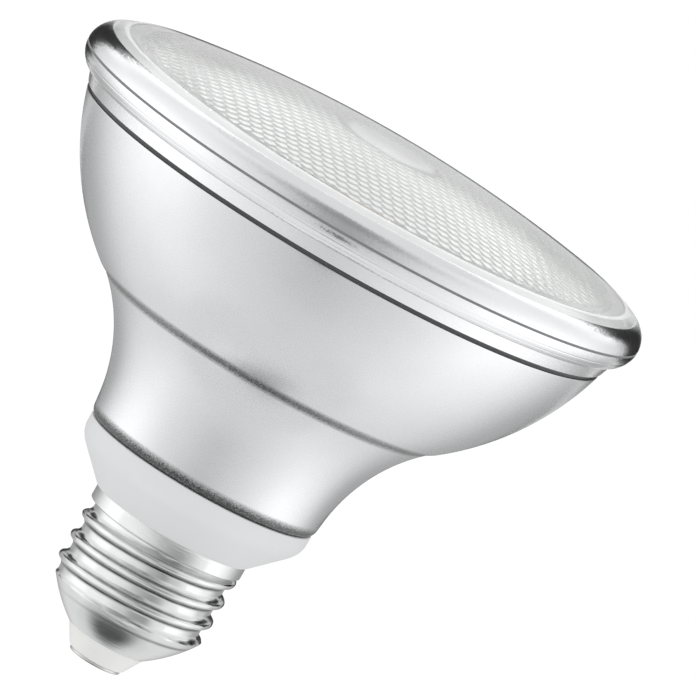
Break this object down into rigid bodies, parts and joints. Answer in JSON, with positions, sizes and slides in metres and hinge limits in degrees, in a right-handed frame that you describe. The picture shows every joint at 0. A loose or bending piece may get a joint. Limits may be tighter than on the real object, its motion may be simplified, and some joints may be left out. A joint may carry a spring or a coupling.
{
  "type": "reflector spotlight bulb",
  "caption": "Reflector spotlight bulb with a silvered glass bowl, a stippled domed lens, a white collar and an E27 screw cap, with LED light source and driver inside.",
  "frame": {"origin": "centre of the flat face of the centre contact at the end of the screw cap", "axes": "+Z is the lamp's axis from the cap towards the lens; X and Y lie across it, with the driver board in the XZ direction"},
  "size_m": [0.097, 0.097, 0.0926],
  "materials": {
    "lens_glass": "clear pressed glass, stippled",
    "silvered_glass": "pressed glass silvered inside, satin",
    "bonding_cement": "matt",
    "white_moulding": "smooth, semi-matt",
    "nickel_plate": "bright nickel plate",
    "white_insulator": "smooth",
    "contact_metal": "tinned",
    "bare_aluminium": "pressed, bare",
    "thermal_silicone": "matt",
    "white_board": "white solder mask",
    "led_phosphor": "phosphor in clear resin",
    "screw_steel": "zinc plated",
    "green_board": "solder mask",
    "capacitor_sleeve": "shrink sleeve",
    "dipped_resin": "dipped",
    "ferrite": "sintered",
    "bobbin_plastic": "moulded",
    "winding_copper": "enamelled copper",
    "package_black": "moulded",
    "resistor_coat": "coated",
    "lead_brown": "insulated wire",
    "lead_blue": "insulated wire",
    "lead_red": "insulated wire",
    "lead_black": "insulated wire"
  },
  "bodies": {
    "root": {"front_lens": "lens_glass", "rim_seal": "bonding_cement", "reflector": "silvered_glass", "neck_seal": "bonding_cement", "collar": "white_moulding", "screw_shell": "nickel_plate", "cap_insulator": "white_insulator", "centre_contact": "contact_metal", "heat_spreader": "bare_aluminium", "thermal_pad": "thermal_silicone", "led_board": "white_board", "led_chips": "led_phosphor", "board_screws": "screw_steel", "driver_board": "green_board", "electrolytic_capacitor": "capacitor_sleeve", "film_capacitor": "dipped_resin", "transformer_core": "ferrite", "transformer_bobbin": "bobbin_plastic", "transformer_winding": "winding_copper", "bridge_rectifier": "package_black", "driver_chip": "package_black", "input_choke": "ferrite", "fusible_resistor": "resistor_coat", "live_lead": "lead_brown", "neutral_lead": "lead_blue", "led_lead_positive": "lead_red", "led_lead_negative": "lead_black"}
  },
  "joints": []
}
